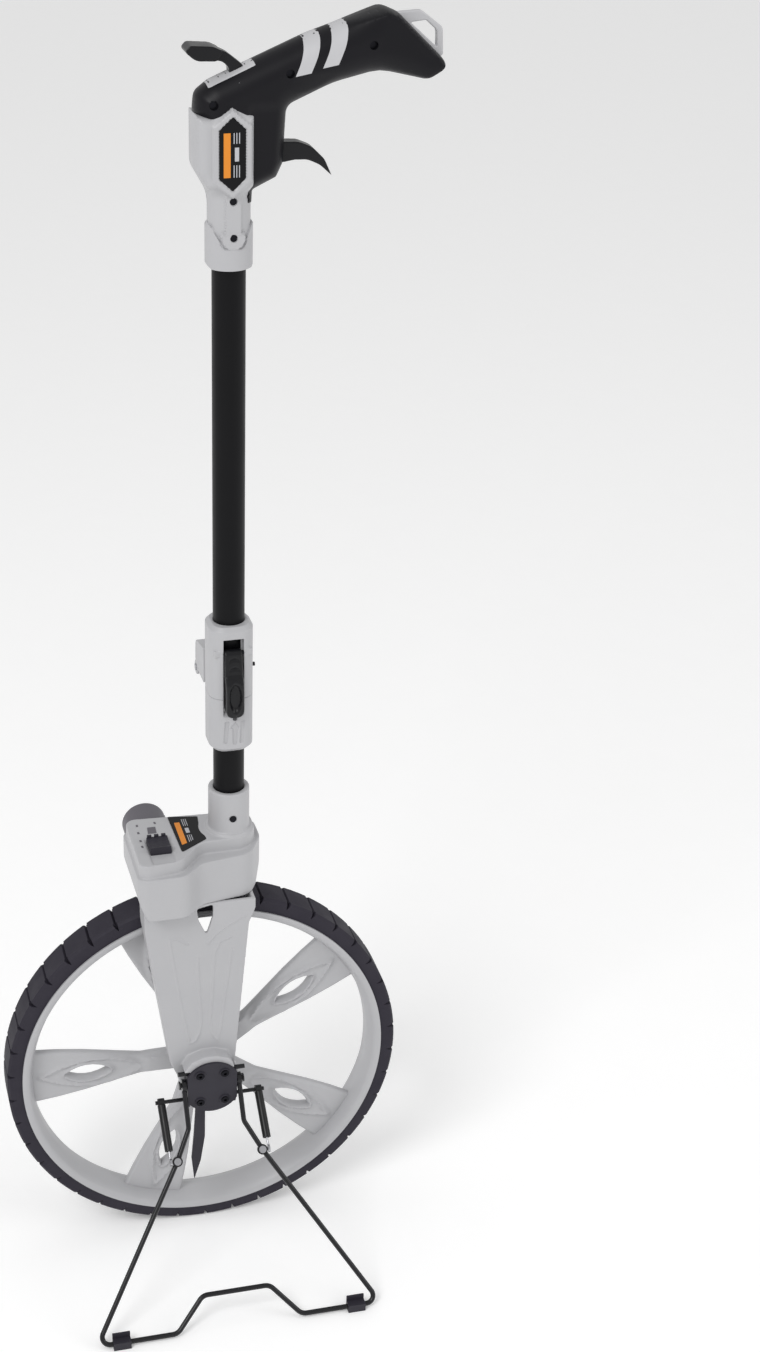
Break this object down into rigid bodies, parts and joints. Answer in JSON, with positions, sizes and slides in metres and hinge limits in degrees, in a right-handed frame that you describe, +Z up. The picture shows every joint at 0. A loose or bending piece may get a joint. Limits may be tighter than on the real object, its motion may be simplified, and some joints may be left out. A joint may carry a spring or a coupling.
{
  "type": "measuring wheel",
  "caption": "Folding one-wheel distance measurer: spoked wheel on a single-sided arm, mechanical counter, folding pole with pistol grip, brake trigger and wire stand.",
  "frame": {"origin": "middle of the whole object's box, on the ground it stands on", "axes": "+Z up, +X towards the grip and the user, axle along Y with the arm and stand on the -Y side"},
  "size_m": [0.324, 0.195, 0.9836],
  "materials": {
    "white_plastic": "satin moulded ABS",
    "tyre_rubber": "matt moulded rubber",
    "bearing_steel": "ground steel",
    "zinc_steel": "bright zinc plate",
    "dark_plastic": "dark grey moulded nylon",
    "black_plastic": "black moulded nylon",
    "black_rubber": "satin soft-touch rubber",
    "belt_rubber": "moulded rubber",
    "black_screw": "black oxide steel",
    "black_wire": "black coated steel wire",
    "black_sleeve": "black vinyl sleeve",
    "badge_black": "glossy printed label",
    "grey_plastic": "grey moulded plastic",
    "clear_window": "clear moulded acrylic",
    "black_tube": "satin black powder coat",
    "grey_inlay": "light grey moulded plastic",
    "drum_plastic": "black moulded digit drum"
  },
  "bodies": {
    "frame": {"arm": "white_plastic", "housing": "white_plastic", "housing_base": "white_plastic", "housing_screws": "black_screw", "housing_badge": "badge_black", "drive_belt": "belt_rubber", "axle": "zinc_steel", "axle_spacer": "zinc_steel", "axle_washer": "zinc_steel", "axle_nut": "zinc_steel", "stand_bracket": "dark_plastic", "bracket_screws": "black_screw", "stop_rod": "black_wire", "stand_pivot_pins": "black_wire", "spring_pegs": "black_wire", "pointer": "dark_plastic", "lower_tube": "black_tube", "lower_cables": "black_sleeve", "joint_lower": "white_plastic", "fold_pin": "zinc_steel", "counter_case": "grey_plastic", "counter_lens": "clear_window", "counter_frame": "dark_plastic"},
    "wheel": {"tyre": "tyre_rubber", "wheel_rim": "white_plastic", "wheel_bearings": "bearing_steel", "drive_pulley": "dark_plastic"},
    "stand": {"stand_wire": "black_wire", "wire_rivets": "zinc_steel", "foot_clips": "dark_plastic"},
    "spring_sleeves": {"spring_sleeves": "black_sleeve"},
    "spring_hooks": {"spring_hooks": "zinc_steel"},
    "handle": {"upper_tube": "black_tube", "upper_cables": "black_sleeve", "joint_upper": "white_plastic", "joint_cross_pin": "black_screw", "latch_pin": "black_screw", "head_shell_near": "white_plastic", "head_shell_far": "white_plastic", "grip_cover_near": "black_rubber", "grip_cover_far": "black_rubber", "head_badge": "badge_black", "grip_stripes": "grey_inlay", "hanging_loop": "grey_inlay", "lever_bezel": "grey_inlay", "head_screws": "black_screw", "head_pins": "zinc_steel"},
    "latch": {"latch_lever": "black_plastic"},
    "trigger": {"brake_trigger": "black_plastic"},
    "reset_lever": {"reset_lever": "black_plastic"},
    "brake": {"brake_shoe": "dark_plastic", "brake_pad": "belt_rubber"},
    "selector": {"selector_slider": "dark_plastic"},
    "counter_drive": {"counter_shaft": "zinc_steel", "counter_pulley": "dark_plastic", "digit_drum_1": "drum_plastic"},
    "digit_drum_2": {"digit_drum_2": "drum_plastic"},
    "digit_drum_3": {"digit_drum_3": "drum_plastic"},
    "digit_drum_4": {"digit_drum_4": "drum_plastic"},
    "digit_drum_5": {"digit_drum_5": "drum_plastic"}
  },
  "joints": [
    {"name": "wheel_spin", "type": "hinge", "parent": "frame", "child": "wheel", "pos_m": [-0.00288, 0.0525, 0.15915], "axis": [0, 1, 0], "continuous": true},
    {"name": "counter_spin", "type": "hinge", "parent": "frame", "child": "counter_drive", "pos_m": [-0.03818, 0.0825, 0.35716], "axis": [0, 1, 0], "continuous": true},
    {"name": "handle_fold", "type": "hinge", "parent": "frame", "child": "handle", "pos_m": [0.01882, 0.0855, 0.49616], "axis": [-1, 0, 0], "range_deg": [0, 180]},
    {"name": "latch_lift", "type": "hinge", "parent": "handle", "child": "latch", "pos_m": [0.01882, 0.0307, 0.53365], "axis": [-1, 0, 0], "range_deg": [0, 75]},
    {"name": "trigger_pull", "type": "hinge", "parent": "handle", "child": "trigger", "pos_m": [0.04312, 0.0463, 0.89816], "axis": [0, -1, 0], "range_deg": [0, 16], "stiffness_Nm_per_rad": 0.3, "springref_deg": -17.19},
    {"name": "reset_press", "type": "hinge", "parent": "handle", "child": "reset_lever", "pos_m": [0.02312, 0.0463, 0.94115], "axis": [0, -1, 0], "range_deg": [0, 12], "stiffness_Nm_per_rad": 0.3, "springref_deg": -17.19},
    {"name": "brake_press", "type": "slide", "parent": "frame", "child": "brake", "axis": [0, 0, -1], "range_m": [0, 0.003]},
    {"name": "selector_slide", "type": "slide", "parent": "frame", "child": "selector", "axis": [0, -1, 0], "range_m": [0, 0.012]},
    {"name": "stand_fold", "type": "hinge", "parent": "frame", "child": "stand", "pos_m": [-0.00288, 0.0125, 0.16115], "axis": [-1, 0, 0], "range_deg": [0, 124]},
    {"name": "spring_swing", "type": "hinge", "parent": "frame", "child": "spring_sleeves", "pos_m": [-0.00288, 0.0185, 0.14216], "axis": [-1, 0, 0], "range_deg": [0, 106.45]},
    {"name": "spring_stretch", "type": "slide", "parent": "spring_sleeves", "child": "spring_hooks", "axis": [0, -0.795, -0.6066], "range_m": [0, 0.02973]},
    {"name": "digit_2_spin", "type": "hinge", "parent": "frame", "child": "digit_drum_2", "pos_m": [-0.03818, 0.0825, 0.35716], "axis": [0, 1, 0], "continuous": true},
    {"name": "digit_3_spin", "type": "hinge", "parent": "frame", "child": "digit_drum_3", "pos_m": [-0.03818, 0.0825, 0.35716], "axis": [0, 1, 0], "continuous": true},
    {"name": "digit_4_spin", "type": "hinge", "parent": "frame", "child": "digit_drum_4", "pos_m": [-0.03818, 0.0825, 0.35716], "axis": [0, 1, 0], "continuous": true},
    {"name": "digit_5_spin", "type": "hinge", "parent": "frame", "child": "digit_drum_5", "pos_m": [-0.03818, 0.0825, 0.35716], "axis": [0, 1, 0], "continuous": true}
  ],
  "couplings": [
    {"joint": "counter_spin", "follows": "wheel_spin", "ratio": 1},
    {"joint": "brake_press", "follows": "trigger_pull", "m_per_rad": 0.010732},
    {"joint": "spring_swing", "follows": "stand_fold", "ratio": 0.85834},
    {"joint": "spring_stretch", "follows": "stand_fold", "m_per_rad": 0.013734},
    {"joint": "digit_2_spin", "follows": "wheel_spin", "ratio": 0.1},
    {"joint": "digit_3_spin", "follows": "wheel_spin", "ratio": 0.01},
    {"joint": "digit_4_spin", "follows": "wheel_spin", "ratio": 0.001},
    {"joint": "digit_5_spin", "follows": "wheel_spin", "ratio": 0.0001}
  ]
}
